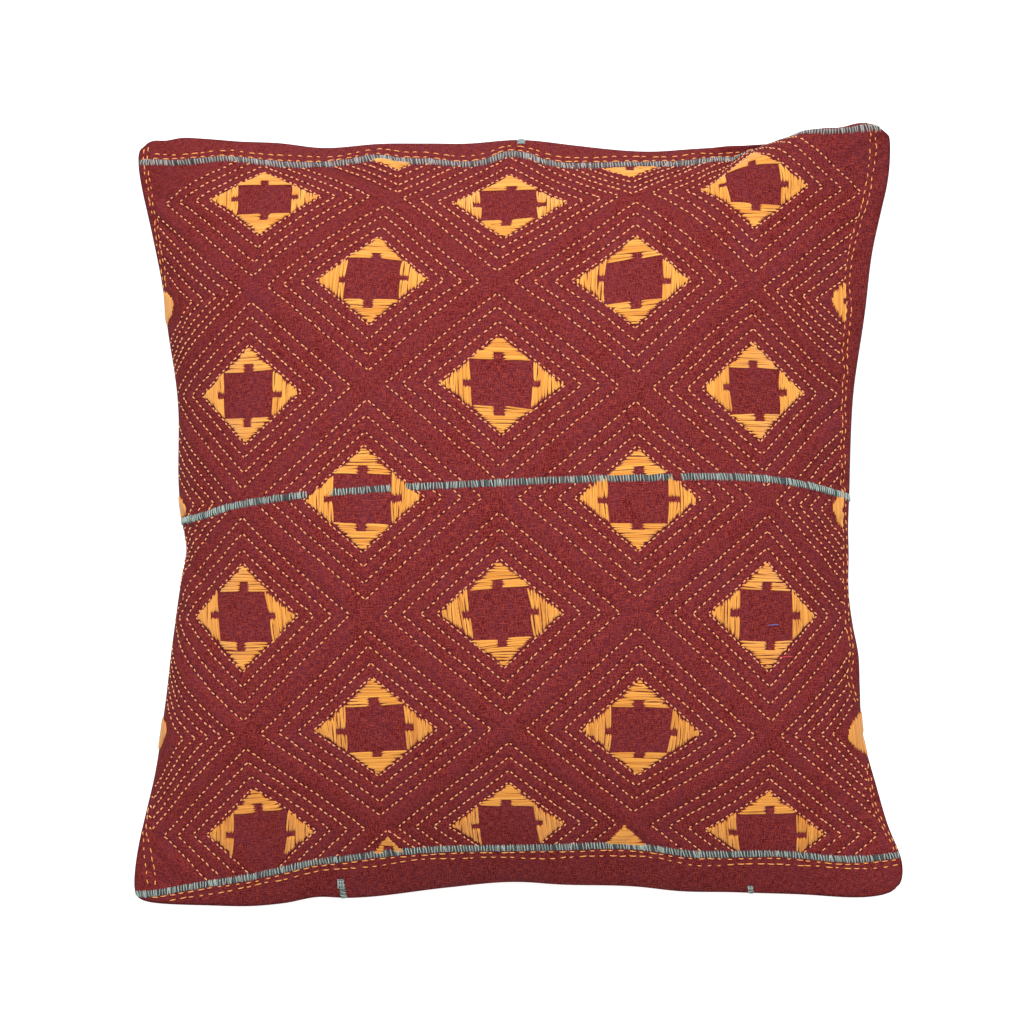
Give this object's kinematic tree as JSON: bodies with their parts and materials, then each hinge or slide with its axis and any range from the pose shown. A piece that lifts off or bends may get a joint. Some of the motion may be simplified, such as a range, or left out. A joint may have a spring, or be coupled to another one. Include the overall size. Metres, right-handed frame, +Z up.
{
  "type": "kantha cushion cover",
  "caption": "Plump square cushion in a maroon cotton kantha cover, quilted with satin-stitched diamonds, rows of running stitch and teal stitched bands.",
  "frame": {"origin": "middle of the bounding box, on the surface that the cushion lies on", "axes": "+Z up out of the embroidered face, +Y towards the cushion's top edge, +X towards its right edge as the face is read"},
  "size_m": [0.4331, 0.4418, 0.1339],
  "materials": {
    "maroon_cotton": "plain-woven maroon cotton with darker cross threads, matt",
    "teal_thread": "close teal embroidery stitches, light and dark strands, matt",
    "amber_thread": "loosely twisted amber embroidery cotton with a soft sheen"
  },
  "bodies": {
    "root": {"cushion": "maroon_cotton", "band_top": "teal_thread", "band_middle": "teal_thread", "band_bottom": "teal_thread", "tack_top": "teal_thread", "tack_bottom_left": "teal_thread", "tack_bottom_right": "teal_thread"}
  },
  "joints": []
}
